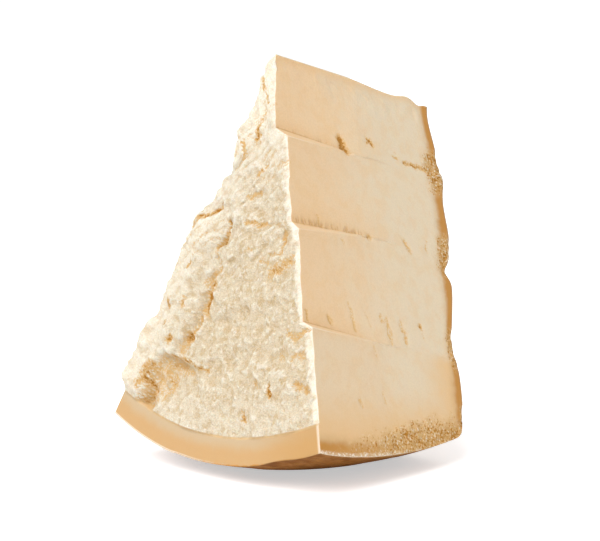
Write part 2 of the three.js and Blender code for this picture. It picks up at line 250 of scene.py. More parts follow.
class CheeseColours(PropertyGroup):
    """Scene-linear colours of the paste and the rind."""

    broken: colour("Broken paste", "Dry crumbly paste", (0.785, 0.685, 0.517))
    # Pale crumbs, and also the colour of the painted highlights on crests and edges
    pale_crumb_and_highlight: colour("Fresh crumbs", "Edges and crumbs that catch the light", (0.95, 0.915, 0.80))
    # Tan paste, and also the colour of the painted warm shade in hollows and crevices
    crevice_tan_and_shade: colour("Crevice", "Tan paste between the crumbs", (0.635, 0.48, 0.285))
    # Real stains round cracks, and also the colour of painted shade: the line along the scored
    # band's seam and the gaps between crumbs
    stain_and_shade: colour("Stain", "Browned paste round a crack", (0.66, 0.415, 0.17))
    crack: colour("Crack", "Crumbs deep in a crack", (0.40, 0.17, 0.014))
    cut: colour("Cut paste", "Paste that a knife smoothed", (0.77, 0.55, 0.33))
    cut_warm: colour("Pressed paste", "Cut paste above a ledge", (0.73, 0.465, 0.215))
    cut_pale: colour("Pale cut paste", "Cut paste towards the flat rind", (0.73, 0.605, 0.43))
    scored: colour("Scored paste", "Paste just under the rind", (0.53, 0.325, 0.145))
    scored_pale: colour("Pale scored paste", "Inner edge of the scored band", (0.51, 0.375, 0.225))
    # The scored band next to the cut, and also the colour of the painted shade in the valleys over
    # the ledges
    scored_deep_and_valley_shade: colour("Deep scored paste", "Scored band next to the cut", (0.49, 0.275, 0.094))
    rim: colour("Rind section", "The rind where it is cut through", (0.505, 0.235, 0.047))
    rind: colour("Rind", "Outside of the rind", (0.35, 0.135, 0.018))
    rind_dark: colour("Dark rind", "Worn and oiled patches of the rind", (0.2, 0.07, 0.008))


class StageSettings(PropertyGroup):
    """Floor, lights and camera."""

    floor: colour("Floor", "Colour of the floor", (0.95, 0.95, 0.95))
    floor_glow: strength(
        "Floor glow", "How much the floor lightens the shadows on it", 0.5, 2.0)
    surround: strength(
        "Surround", "Strength of the even white light from all round", 0.66, 5.0)
    key: strength("Key light", "Strength of the wide light at the front", 2.55, 20.0)
    key_from: FloatVectorProperty(
        name="Key side", description="Where the key light comes from", size=3,
        default=(0.1, -0.64, 0.76), subtype="DIRECTION")
    key_width: angle(
        "Key width", "How wide the key light is, seen from the wedge", 50, 0.0, math.pi)
    lens: FloatProperty(
        name="Focal length", description="Focal length for a sensor 36 mm wide",
        default=119.454, min=10.0, max=300.0, subtype="DISTANCE_CAMERA", unit="CAMERA")
    camera_place: FloatVectorProperty(
        name="Camera place", description="Where the camera stands", size=3,
        default=(0.721174, -0.663595, 0.210482), subtype="TRANSLATION", unit="LENGTH")
    camera_turn: FloatVectorProperty(
        name="Camera turn", description="How the camera is turned", size=3,
        default=tuple(math.radians(v) for v in (83.22189, 1.50655, 47.387)),
        subtype="EULER", unit="ROTATION")


# --- Shape functions, on whole arrays of points in millimetres ---


def smooth(a, b, v):
    """0 below a, 1 above b and a cubic ease between them."""
    t = np.clip((v - a) / (b - a), 0.0, 1.0)
    return t * t * (3 - 2 * t)


def fade(a, b, v):
    """1 below a, 0 above b and a cubic ease between them."""
    return 1 - smooth(a, b, v)


def band(a, b, c, d, v):
    """0 below a and above d, 1 from b to c and a cubic ease on each side."""
    return smooth(a, b, v) * fade(c, d, v)


def bell(v):
    """The bell curve e to the minus v squared."""
    return np.exp(-np.square(v))


def turned(u, v, way):
    """How far the points u, v are along a direction, and how far to the side of it."""
    return u * way[0] + v * way[1], u * way[1] - v * way[0]


def random(cell, seed):
    """A repeatable random number from 0 to 1 for each lattice cell: a large sine's fraction."""
    i, j, k = cell
    v = np.sin(i * 127.1 + j * 311.7 + k * 74.7 + seed * 53.3) * 43758.5453
    return v - np.floor(v)


def signed(cell, seed):
    """The same from -1 to 1."""
    return 2 * random(cell, seed) - 1


def neighbours(q):
    """Each of the 27 lattice cells around the points q, and the points' places in that cell."""
    middle = np.floor(q)
    for step in np.ndindex(3, 3, 3):
        cell = middle + np.subtract(step, 1)
        yield cell.T, (q - cell).T


def from_centre(cell, place, seed, margin):
    """How far the points are from a random centre in their cell, which keeps a margin to its
    edges."""
    return [place[k] - margin - (1 - 2 * margin) * random(cell, seed + k) for k in range(3)]


def flakes(p, size, seed):
    """Flaky fracture, about -1 to 1: each lattice cell holds one tilted facet at its own height,
    and the facets are averaged with weights that fall off steeply, so that they meet in short
    scarps."""
    steep, lift = 14.0, 0.8
    total, weights = np.zeros(len(p)), np.zeros(len(p))
    for cell, place in neighbours(p / size):
        dx, dy, dz = from_centre(cell, place, seed, 0.1)
        tilt = signed(cell, seed + 3) * dx + signed(cell, seed + 4) * dz
        facet = lift * signed(cell, seed + 5) + tilt
        weight = np.exp(-steep * (dx * dx + dy * dy + dz * dz))
        total += weight * facet
        weights += weight
    return total / weights


def grains(p, size, seed, fill):
    """Domed grains from 0 to 1: each lattice cell holds a ball of its own radius, and a point takes
    the height of the tallest ball over it. A share fill of the cells holds one."""
    smallest, spread = 0.35, 0.4
    height = np.zeros(len(p))
    for cell, place in neighbours(p / size):
        dx, dy, dz = from_centre(cell, place, seed, 0.15)
        radius = smallest + spread * random(cell, seed + 3)
        ball = 1 - (dx * dx + dy * dy + dz * dz) / (radius * radius)
        held = random(cell, seed + 4) < fill
        height = np.maximum(height, np.where(held, ball * radius / (smallest + spread), 0.0))
    return height


def chipped(v, table):
    """Chips and bulges along a line: the sum of a table's bells."""
    return sum(out * bell((v - at) / wide) for at, out, wide in table)


def from_line(u, v, mark):
    """Distance of the points u, v from the straight line of a mark."""
    du, dv = mark[2] - mark[0], mark[3] - mark[1]
    t = np.clip(((u - mark[0]) * du + (v - mark[1]) * dv) / (du * du + dv * dv), 0.0, 1.0)
    return np.hypot(u - mark[0] - t * du, v - mark[1] - t * dv)


def carved(u, v, table):
    """Depth and brownness that a table of marks gives: the most that any mark's bell reaches. The
    brown bell is wider than the groove."""
    stain_width = 1.15
    depth, brown = np.zeros_like(u), np.zeros_like(u)
    for mark in table:
        width, deep, stain_and_shade = mark[4:]
        away = from_line(u, v, mark) / width
        depth = np.maximum(depth, deep * bell(away))
        brown = np.maximum(brown, stain_and_shade * bell(away / stain_width))
    return depth, brown


class Wheel:
    """The wheel's sizes in millimetres, and the forms of the wedge's five faces."""

    def __init__(self, sizes, crumb):
        self.angle, self.lean = sizes.half_angle, sizes.lean
        self.radius = sizes.radius * MM
        self.rim_depth, self.rim_round = sizes.rim_depth * MM, sizes.rim_round * MM
        self.dome, self.bulge = sizes.dome * MM, sizes.bulge * MM
        self.score = sizes.score_depth * MM
        self.rest_depth, self.rest_flat = sizes.rest_depth * MM, sizes.rest_flat * MM
        self.reach, self.tip_wear = sizes.ledge_reach * MM, sizes.tip_wear * MM
        self.flake, self.chip = crumb.flake * MM, crumb.chip * MM
        self.crumb, self.pit = crumb.crumb * MM, crumb.pit * MM
        self.streak = crumb.streak * MM

    def side_radius(self, y):
        """Radius of the wheel's side at a depth y: a parabola, then a circular rim."""
        bulged = self.radius - self.bulge * (y / self.rim_depth) ** 2
        rim = np.clip((y - self.rim_depth + self.rim_round) / self.rim_round, 0.0, 1.0)
        return bulged - self.rim_round * (1 - np.sqrt(1 - rim * rim))

    def flat_depth(self, s):
        """Depth of the domed flat rind at a share s of the wheel's radius: a parabola."""
        return self.rim_depth + self.dome * (1 - s * s)

    def ideal(self, radius, phi, depth):
        """A point of the plain wedge from its ring, its angle and its depth from 0 to 1. The rings
        follow the side rind inwards by the sixth power of their share of the radius."""
        s = radius / self.radius
        inward = (self.radius - self.side_radius(depth * self.rim_depth)) * s**6
        r = radius - inward
        return np.stack([r * np.sin(phi), depth * self.flat_depth(s), -r * np.cos(phi)], -1)

    def measure(self, p):
        """Where points of the plain wedge are: p itself and its x, y and z, the distance r from the
        centre line at an angle phi, the distances in from the cut, the back, the flat rind and the
        side rind, and how far along the cut from the tip."""
        x, y, z = p.T
        r, phi = np.hypot(x, z), np.arctan2(x, -z)
        return SimpleNamespace(
            p=p, x=x, y=y, z=z, r=r, phi=phi, along=r * np.cos(self.angle - phi),
            from_cut=r * np.sin(self.angle - phi), from_back=r * np.sin(self.angle + phi),
            from_flat=self.flat_depth(r / self.radius) - y, from_side=self.side_radius(y) - r)

    def hollow(self, m):
        """How far a point is down in the hollow, from 0 to 1: it falls steeply past a lip that
        curls down on the left, and runs out downwards and to the right."""
        curled = np.maximum(0, LIP_CURL_X - m.x)
        past = m.r - LIP_CREST - LIP_CURL * curled**2
        run = LIP_FOOT - LIP_CREST + LIP_SPREAD * curled
        fall = smooth(0, 1, past / run) * bell(np.maximum(0, past - run) / HOLLOW_REACH)
        return fade(-34, -6, m.x) * fall

    def tip_ridge(self, m):
        """How far a point is to the right of the crest of the ridge near the tip."""
        return m.x + 15.5 + 0.11 * m.z

    def split_relief(self, m, fracture):
        """Relief of the broken front, outwards: slab, crack, tip ridge, hollow and fracture, as far
        as the scored band. The crack is a parabola from top to bottom."""
        edge = self.radius - self.score
        down = -85 - m.z
        left = -11.6 - 0.12 * down - 0.003 * down * down - m.x
        round_off = 0.75 * bell(m.from_back / 9) * fade(143, 150, m.r)
        slab = 0.3 * smooth(-1, 4, left) + 0.7 * smooth(0, 22, left)
        slab *= band(76, 92, 180, 187, m.r) * (1 - round_off)
        crack = bell((left + 1.5) / 3.4) * band(80, 88, 146, 152, m.r)
        ridge = bell(self.tip_ridge(m) / 5) * band(28, 45, 74, 90, m.r)
        rough = 0.7 + (0.35 + 0.65 * smooth(0, 9, m.from_cut)) * fracture
        rough += SLAB_HEIGHT * slab - CRACK_DEPTH * crack + RIDGE_HEIGHT * ridge
        rough -= HOLLOW_DEPTH * self.hollow(m)
        return rough * fade(edge - SCORE_EASE, edge + SCORE_EASE, m.r)

    def back_relief(self, m, fracture):
        """Relief of the broken back: fracture and corner chips, flush where the rind was scored."""
        from_side = self.side_radius(np.minimum(m.y, self.rim_depth - self.rim_round)) - m.r
        open_back = smooth(self.score - SCORE_EASE, self.score + SCORE_EASE,
                           np.minimum(from_side, m.from_flat))
        broken = 0.6 + fracture + chipped(m.r, CORNER_CHIPS) * bell(m.y / 26)
        return open_back * broken * smooth(0, 12, m.r)

    def cut_relief(self, m):
        """Relief of the knife cut: straight strokes joined by ledges that fade out with depth."""
        at, offset, _ = np.array(STROKES).T
        return np.interp(m.along, at, offset) * np.maximum(0, 1 - m.y / self.reach)

    def cut_drift(self, m):
        """How far a point of the cut has drifted along the face, so that the ledges close to
        lines."""
        at, _, drift = np.array(STROKES).T
        return np.interp(m.along, at, drift) * np.minimum(1, m.y / self.reach) * fade(60, 95, m.y)

    def flat_relief(self, m):
        """Relief of the flat rind: gently uneven, and chipped along the cut face."""
        return chipped(m.r, RIND_CHIPS) * bell(m.from_cut / 14) + 0.5 * flakes(m.p, 45.0, 61)

    def side_relief(self, m):
        """Relief of the side rind: nearly true, and chipped next to the cut face."""
        chip = -1.4 * bell((m.phi * self.radius - 50) / 13) * bell(m.y / 6)
        return chip + 0.35 * flakes(m.p, 38.0, 71)

    def crumble(self, p):
        """Fine relief of broken paste: flakes of 5 mm, chips of 2.7 and 1.7 mm, crumbs and pits,
        all bent by 0.8 mm."""
        bend = flakes(p, 6.0, 201)
        bent = p + 0.8 * np.stack([bend, 0 * bend, flakes(p, 6.0, 211)], -1)
        fine = self.flake * flakes(bent, 5.0, 31)
        fine += self.chip * (flakes(bent, 2.7, 37) + 0.7 * flakes(bent, 1.7, 43))
        fine += self.crumb * grains(bent, 3.2, 59, 0.3) ** 2
        return fine - self.pit * grains(bent, 7.0, 47, 0.22) ** 2

    def front_detail(self, m):
        """Fine relief of the broken front: streaks torn down to the left near the tip, the ridges
        of the leaf, then every mark. Returns relief, brownness, which holds painted shade in the
        hollow below the lip, and paleness, which is partly painted light."""
        along, side = turned(m.x, m.z, STREAK_WAY)
        torn = flakes(np.stack([-side, 0 * m.x, along / 4.5], -1), 2.3, 83)
        relief = self.streak * torn * band(0, 50, 70, 125, m.r)
        streaks = 0.3 * smooth(0.1, 0.8, -torn) * band(5, 20, 50, 95, m.r)

        along, side = turned(m.x - LEAF[0], m.z - LEAF[1], LEAF_WAY)
        leaf = bell(np.hypot(along / LEAF_SIZE[0], side / LEAF_SIZE[1]) ** 2)
        wander = 0.7 * flakes(m.p, 9.0, 91) + 0.012 * along**2
        ridges = np.abs(np.sin((side + wander) * math.pi / LEAF_RIDGES))
        relief += leaf * (0.55 + 0.45 * ridges)
        furrows = 0.42 * leaf * np.square(1 - ridges)

        right, up = (flakes(m.p, 3.0, first) + 0.5 * flakes(m.p, 1.7, second)
                     for first, second in ((97, 99), (101, 102)))
        depth, brown = carved(m.x + right, m.z + up, FRONT_MARKS)
        for x, z, width, high in FRONT_CRUMBS:
            relief += high * bell(np.hypot(m.x - x, m.z - z) / width)
        # Brown speckle in the hollow below the lip: brown crumbs, and painted shade where the lip
        # shadows the hollow
        hollow_shade_speckle = 0.4 + 0.34 * flakes(m.p, 2.2, 103) + 0.1 * flakes(m.p, 5.0, 107)
        sunk = smooth(0.0, 0.55, self.hollow(m) * fade(-42, -27, m.x))
        brown = np.maximum.reduce([brown, sunk * hollow_shade_speckle, streaks, furrows])
        chamfer = 1.1 * fade(0, 3.0, m.from_cut)

        # pale, smoother paste next to the cut, at the tip, on the ridge, left of the slab, at the
        # back edge and below; except below, it is partly painted light: a highlight along the cut's
        # edge and on the ridge, and a brighter tip and left side
        pale_and_lit = np.maximum.reduce([
            0.9 * fade(1.2, 3.6, m.from_cut + 1.1 * flakes(m.p, 4.0, 149)),
            0.84 * fade(20, 95, m.r),
            0.6 * bell(self.tip_ridge(m) / 4) * fade(80, 100, m.r),
            0.5 * fade(-60, -52, m.x) + 0.3 * leaf,
            0.65 * fade(4, 36, m.from_back),
            0.3 * smooth(160, 178, m.r)])
        return relief - depth - chamfer, np.clip(brown, 0, 1), np.clip(pale_and_lit, 0, 1)

    def crumbled_rind(self, m):
        """How crumbly a point of the cut is, from 0 to 1: next to the side rind, more and more with
        depth, and at the flat rind where that has crumbled away."""
        ragged = 3.0 * flakes(m.p, 9.0, 109) + 1.6 * flakes(m.p, 3.5, 113)
        width = (3.0 + 10.0 * smooth(10, 55, m.y)) * (1 - 0.4 * smooth(70, 100, m.y))
        low = fade(-6.0, 6.0, m.from_side + 1.1 * ragged - width)
        low *= 0.45 * smooth(4, 20, m.y) + 0.55 * smooth(25, 62, m.y)
        near = m.along + ragged
        flat = np.maximum.reduce([band(a - 5, a + 5, b - 5, b + 5, near) for a, b in CRUMBLED])
        return np.maximum(low, flat * smooth(96, 104, m.y + 0.7 * ragged))

    def cut_detail(self, m):
        """Fine relief of the cut: the crumbly rind, ledges that turn ragged where they fade out,
        and every mark. Returns relief, brownness and how crumbly it is."""
        crumbly = self.crumbled_rind(m)
        chips = flakes(m.p, 2.8, 127) + 0.7 * flakes(m.p, 1.7, 131)
        ragged = np.maximum.reduce([bell((m.along - 0.5 * (a + b)) / 3.0) for a, b in LEDGES])
        ragged *= 0.3 * smooth(8, 60, m.y) * (1 - 0.6 * smooth(50, 80, m.y))
        relief = crumbly * (0.4 * chips - 0.3) + ragged * chips
        jitter = 0.7 * flakes(m.p, 3.0, 137) + self.cut_drift(m)
        depth, brown = carved(m.along + jitter, m.y + 0.7 * flakes(m.p, 3.0, 139), CUT_MARKS)
        return relief - 0.6 * depth, np.minimum(brown, 1), crumbly

    def pressed(self, m):
        """How hard the knife dragged the cut, from 0 to 1: it falls off by e in 4.5 mm above each
        ledge, and fades out with depth."""
        most = np.zeros_like(m.r)
        for (valley, _), torn in zip(LEDGES, PRESSED):
            above = valley - m.along
            most = np.maximum(most, torn * np.where(above > -1.0, np.exp(-np.abs(above) / 4.5), 0))
        return most * fade(30, 75, m.y)

    def move(self, m):
        """Moves the points of the plain wedge out by the relief of every face they lie on or near.
        A face's relief fades with the bell of the distance below it. Returns the points, and how
        brown, how pale and how crumbly they are; the brown holds painted shade in the hollow below
        the lip, and the paleness is partly painted light."""
        edge = self.radius - self.score
        open_front = fade(edge - CRUMB_EASE, edge + CRUMB_EASE, m.r)
        open_back = smooth(self.score - CRUMB_EASE, self.score + CRUMB_EASE,
                           np.minimum(m.from_side, m.from_flat))
        fracture = sum(high * flakes(m.p, size, seed) for size, seed, high in FRACTURE)
        fine = self.crumble(m.p)
        front_fine, front_brown, pale_and_lit = self.front_detail(m)
        cut_fine, cut_brown, crumbly = self.cut_detail(m)

        front = self.split_relief(m, fracture) + (fine * (1 - 0.7 * pale_and_lit) + front_fine) * open_front
        flat = self.flat_relief(m) - 0.8 * crumbly * bell(m.from_cut / 5)
        back = self.back_relief(m, fracture) + fine * open_back * smooth(0, 12, m.r)
        near_cut = bell(m.from_cut / FACE_REACH)
        tip = chipped(m.y, TIP_CHIPS) - self.tip_wear * smooth(45, 80, m.y)
        sin, cos = math.sin(self.angle), math.cos(self.angle)
        radial = np.stack([np.sin(m.phi), 0 * m.phi, -np.cos(m.phi)], -1)
        moves = (
            ((0, -1, 0), front * bell(m.y / FACE_REACH)),
            ((0, 1, 0), flat * bell(m.from_flat / FACE_REACH)),
            ((cos, 0, sin), self.cut_relief(m) * near_cut + cut_fine * bell(m.from_cut / 3)),
            ((sin, 0, -cos), self.cut_drift(m) * near_cut),
            ((-cos, 0, sin), back * bell(m.from_back / FACE_REACH)),
            (radial, self.side_relief(m) * bell(m.from_side / FACE_REACH)),
            ((0, 0, 1), tip * bell(m.r / 9)))
        moved = m.p + sum(np.array(way) * by[:, None] for way, by in moves)

        on_front, on_cut = bell(m.y / FACE_SKIN) * open_front, bell(m.from_cut / FACE_SKIN)
        brown = np.maximum(front_brown * on_front, cut_brown * on_cut * (1 - on_front))
        return moved, brown, pale_and_lit * on_front, crumbly * bell(m.from_cut / 5)

    def stand(self, p):
        """Tips the wedge back about X, sets it down and presses its lowest part flat."""
        foot = np.array([0.0, self.rest_depth, -self.side_radius(np.array(self.rest_depth))])
        x, y, z = (p - foot).T
        c, s = math.cos(self.lean), math.sin(self.lean)
        high = np.maximum(c * z - s * y - self.rest_flat, 0.0)
        return np.stack([x, c * y + s * z, high], -1)


# --- The grids of the five faces ---


def ring_radii(wheel, spacing):
    """Ring radii with an even number of steps between the ledges, the lip and the scored band."""
    ends = [end[0] for end in STROKES]
    breaks = sorted({*ends, LIP_CREST, LIP_FOOT, wheel.radius - wheel.score})
    radii = [np.array([0.0])]
    for a, b in zip(breaks, breaks[1:]):
        steps = 2 * max(1, round((b - a) / (2 * spacing)))
        radii.append(np.linspace(a, b, steps + 1)[1:])
    return np.concatenate(radii)


def sector_grid(wheel, radii, depth):
    """A sector face. Ring i carries i + 1 points, spread evenly over the wedge's angle, and each
    ring is joined to the next by a strip of triangles."""
    i, j = np.tril_indices(len(radii))
    phi = wheel.angle * (2 * j / np.maximum(i, 1) - 1) * (i > 0)
    points = wheel.ideal(radii[i], phi, np.full(len(i), depth))
    a = np.flatnonzero(i < len(radii) - 1)
    below = a + i[a] + 1
    outer = np.stack([a, below, below + 1], -1)
    b = a[j[a] < i[a]]
    inner = np.stack([b, b + i[b] + 2, b + 1], -1)
    return points, np.concatenate([outer, inner])


def strip(a, b):
    """Triangles between two rows of point numbers that are equally long, or one twice as fine."""
    if len(a) < len(b):
        return strip(b, a)[:, ::-1]
    if len(a) == len(b):
        sides = (a[:-1], a[1:], b[1:]), (a[:-1], b[1:], b[:-1])
    else:
        left, middle, right = a[:-2:2], a[1:-1:2], a[2::2]
        sides = (left, middle, b[:-1]), (middle, b[1:], b[:-1]), (middle, right, b[1:])
    return np.concatenate([np.stack(corners, -1) for corners in sides])


def swept_grid(point, rings, depths):
    """A face from the split face to the flat rind: one row of points for each depth."""
    rows = [point(radii, depth) for radii, depth in zip(rings, depths)]
    ends = np.cumsum([len(row) for row in rows])
    numbers = [np.arange(end - len(row), end) for row, end in zip(rows, ends)]
    return np.concatenate(rows), np.concatenate([strip(*two) for two in zip(numbers, numbers[1:])])


def wedge_surface(wheel, spacing, rows):
    """The closed surface of the plain wedge. The broken front and the cut are fine, and the other
    faces have every second ring. Returns points, triangles and the finish of each triangle, with
    the doubled edges merged."""
    fine = ring_radii(wheel, spacing)
    coarse = fine[::2]
    fine_first, fine_but_last = [fine] + [coarse] * rows, [fine] * rows + [coarse]
    depths = (np.arange(rows + 1) / rows) ** ROW_GROWTH

    def radial(phi):
        return lambda radii, depth: wheel.ideal(radii, np.full(len(radii), phi), depth)

    def side(radii, depth):
        n = len(radii)
        phi = wheel.angle * (2 * np.arange(n) / (n - 1) - 1)
        return wheel.ideal(np.full(n, wheel.radius), phi, depth)

    # front, flat rind, cut, back and side rind, each with its finish and 1, or -1 to turn it round
    faces = (
        (sector_grid(wheel, fine, 0.0), BROKEN, 1),
        (sector_grid(wheel, coarse, 1.0), RIND, -1),
        (swept_grid(radial(wheel.angle), fine_but_last, depths), CUT, 1),
        (swept_grid(radial(-wheel.angle), fine_first, depths), BROKEN, -1),
        (swept_grid(side, fine_first, depths), RIND, -1),
    )
    points, triangles, finish, start = [], [], [], 0
    for (made, corners), number, way in faces:
        points.append(made)
        triangles.append(corners[:, ::way] + start)
        finish.append(np.full(len(corners), number))
        start += len(made)
    points = np.concatenate(points)
    _, first, merged = np.unique(
        np.round(points, 4), axis=0, return_index=True, return_inverse=True)
    triangles = merged.reshape(-1)[np.concatenate(triangles)]
    whole = (triangles != np.roll(triangles, 1, axis=1)).all(1)
    return points[first], triangles[whole], np.concatenate(finish)[whole]


def gathered(values, triangles, count):
    """For each of count points, the sum of the values of the triangles round it."""
    return np.stack([sum(np.bincount(triangles[:, k], column, count) for k in range(3))
                     for column in values.T], -1)


def averaged(values, triangles, times):
    """Values blurred over the surface: each pass takes the mean of a point's triangles."""
    share = np.maximum(gathered(np.ones((len(triangles), 1)), triangles, len(values)), 1)
    for _ in range(times):
        values = gathered(values[triangles].mean(1), triangles, len(values)) / share
    return values


def sunken(points, triangles, times):
    """How far each point lies under the blurred surface round it, along the sum of its triangles'
    cross products."""
    a, b, c = (points[triangles[:, k]] for k in range(3))
    normals = gathered(np.cross(b - a, c - a), triangles, len(points))
    normals /= np.maximum(np.linalg.norm(normals, axis=1), TINY)[:, None]
    return ((averaged(points, triangles, times) - points) * normals).sum(1)


def put_mesh(name, points, triangles, finish=None):
    """A mesh object at the origin from points in metres and triangles that face outwards, each with
    the number of its material."""
    mesh = bpy.data.meshes.new(name)
    mesh.vertices.add(len(points))
    mesh.vertices.foreach_set("co", points.astype(np.float32).ravel())
    mesh.loops.add(triangles.size)
    mesh.loops.foreach_set("vertex_index", triangles.astype(np.int32).ravel())
    mesh.polygons.add(len(triangles))
    mesh.polygons.foreach_set("loop_start", np.arange(0, triangles.size, 3, dtype=np.int32))
    if finish is not None:
        mesh.polygons.foreach_set("material_index", finish.astype(np.int32))
    mesh.update(calc_edges=True)
    mesh.validate()
    mesh.polygons.foreach_set("use_smooth", np.ones(len(mesh.polygons), bool))
    piece = bpy.data.objects.new(name, mesh)
    bpy.context.scene.collection.objects.link(piece)
    return piece


def put_values(mesh, name, values):
    """A value or a vector for each point, for the material to read."""
    kind, key = ("FLOAT", "value") if values.ndim == 1 else ("FLOAT_VECTOR", "vector")
    layer = mesh.attributes.new(name, kind, "POINT")
    layer.data.foreach_set(key, values.astype(np.float32).ravel())


# --- Materials ---


class Nodes:
    """Short calls for building a node tree. What goes in is a number, a colour or a socket, and
    what comes back is the socket of the result."""

    def __init__(self, tree):
        self.tree = tree

    def add(self, kind, inputs=None, **settings):
        """A new node, with its settings and what goes into its inputs."""
        node = self.tree.nodes.new(kind)
        for key, value in settings.items():
            setattr(node, key, value)
        for key, value in (inputs or {}).items():
            self.set(node.inputs[key], value)
        return node

    def set(self, socket, value):
        """Gives an input a value of its own, or links it to a socket."""
        if isinstance(value, bpy.types.NodeSocket):
            self.tree.links.new(value, socket)
        else:
            socket.default_value = value

    def math(self, operation, a, b):
        return self.add("ShaderNodeMath", {0: a, 1: b}, operation=operation).outputs[0]

    def plus(self, a, b):
        return self.math("ADD", a, b)

    def minus(self, a, b):
        return self.math("SUBTRACT", a, b)

    def times(self, product, *others):
        """The product of one or more values."""
        for other in others:
            product = self.math("MULTIPLY", product, other)
        return product

    def vectors(self, operation, a, b):
        return self.add("ShaderNodeVectorMath", {0: a, 1: b}, operation=operation).outputs[0]

    def ease(self, value, low, high, a=0.0, b=1.0):
        """From a at low to b at high, with a cubic ease between them."""
        return self.add("ShaderNodeMapRange", {0: value, 1: low, 2: high, 3: a, 4: b},
                        interpolation_type="SMOOTHSTEP").outputs[0]

    def coat(self, under, over, *shares):
        """The colour under, moved to the colour over by the product of the shares."""
        inputs = {0: self.times(*shares), 6: rgba(under), 7: rgba(over)}
        return self.add("ShaderNodeMix", inputs, data_type="RGBA").outputs[2]

    def shade(self, colour, share, depth):
        """A colour made darker by a share of a depth, with its hue kept."""
        light = self.minus(1.0, self.times(share, depth))
        return self.add("ShaderNodeVectorMath", {0: colour, "Scale": light},
                        operation="SCALE").outputs[0]

    def noise(self, vector, scale, detail=3.0, rough=0.55, output="Fac"):
        inputs = {"Vector": vector, "Scale": scale, "Detail": detail, "Roughness": rough}
        return self.add("ShaderNodeTexNoise", inputs).outputs[output]

    def stored(self, name, output="Fac"):
        """What put_values stored on the mesh under a name."""
        return self.add("ShaderNodeAttribute", attribute_name=name).outputs[output]

    def place(self, group, **inputs):
        """The outputs of a node group with its values."""
        return self.add("ShaderNodeGroup", node_tree=group, inputs=inputs).outputs


def rgba(value):
    """A colour with its fourth number, or a socket as it is."""
    return value if isinstance(value, bpy.types.NodeSocket) else (*value[:3], 1.0)


# Kinds of the groups' sockets that carry more than a plain value
SOCKET_KINDS = {"Place": "NodeSocketVector", "Paste": "NodeSocketColor",
                "Colour": "NodeSocketColor"}


def node_group(name, inputs, outputs):
    """An empty group with named sockets. Returns its nodes, its inputs and its outputs."""
    tree = bpy.data.node_groups.new(name, "ShaderNodeTree")
    for way, labels in (("INPUT", inputs), ("OUTPUT", outputs)):
        for label in labels:
            tree.interface.new_socket(
                label, in_out=way, socket_type=SOCKET_KINDS.get(label, "NodeSocketFloat"))
    n = Nodes(tree)
    return n, n.add("NodeGroupInput").outputs, n.add("NodeGroupOutput").inputs


def crumb_grain():
    """Crumbs finer than the mesh: bent cells for the crumbs, and noise over them. Height is for a
    bump, Gaps is about -0.4 on a crumb and 0.4 in a gap, and GritShade is a fine speckle from 0 to
    1, used as painted shade of the grain."""
    n, given, out = node_group("crumb_grain", ["Place", "Crumbs"], ["Height", "Gaps", "GritShade"])
    bend = n.vectors("MULTIPLY", n.noise(given["Place"], 0.7, output="Color"), (2.0, 2.0, 2.0))
    bent = n.vectors("ADD", given["Place"], bend)
    cells = n.add("ShaderNodeTexVoronoi", {"Vector": bent, "Scale": given["Crumbs"]}).outputs[0]
    domes = n.ease(cells, 0.75, 0.0)
    rough = n.noise(bent, given["Crumbs"], 6.0, 0.72)
    height = n.plus(n.times(domes, 0.28), n.times(rough, 0.72))
    n.set(out["Height"], height)
    n.set(out["Gaps"], n.times(n.minus(0.5, height), 2.6))
    grit_shade = n.noise(given["Place"], n.times(given["Crumbs"], 1.5), 2.0, 0.6)
    n.set(out["GritShade"], n.ease(grit_shade, 0.36, 0.64))
    return n.tree


def tan_patches():
    """Patches of warmer paste, about as wide as Size in millimetres, with a soft edge: a value from
    0 to 1."""
    n, given, out = node_group("tan_patches", ["Place", "Size"], ["Patch"])
    noise = n.noise(given["Place"], n.math("DIVIDE", 1.0, given["Size"]), 3.0, 0.6)
    n.set(out["Patch"], n.ease(noise, 0.45, 0.64))
    return n.tree


def soft_tone():
    """Slow unevenness of a colour, over one and two centimetres: a value from 0 to 1."""
    n, given, out = node_group("soft_tone", ["Place"], ["Tone"])
    slow, quick = n.noise(given["Place"], 0.055), n.noise(given["Place"], 0.22)
    n.set(out["Tone"], n.ease(n.plus(n.times(slow, 0.65), n.times(quick, 0.35)), 0.36, 0.64))
    return n.tree


def crack_stain_and_shade(colours):
    """The brown of a crack: a soft stain over the paste, with darker crumbs in the gaps where Brown
    is high. On the broken front, Brown also carries the painted shade in the hollow below the lip."""
    n, given, out = node_group("crack_stain_and_shade", ["Paste", "Brown", "Gaps"], ["Colour"])
    brown, gaps = given["Brown"], given["Gaps"]
    wash = n.ease(n.plus(brown, n.times(gaps, 0.8)), 0.15, 0.9)
    colour = n.coat(given["Paste"], colours.stain_and_shade, wash, n.ease(brown, 0.03, 0.3))
    core = n.plus(n.times(brown, 0.7), n.ease(brown, 0.75, 1.0, 0.0, 0.3))
    dark = n.ease(n.plus(core, gaps), 0.66, 1.05)
    n.set(out["Colour"],
          n.coat(colour, colours.crack, dark, n.ease(brown, 0.3, 0.9, 0.0, 0.95)))
    return n.tree


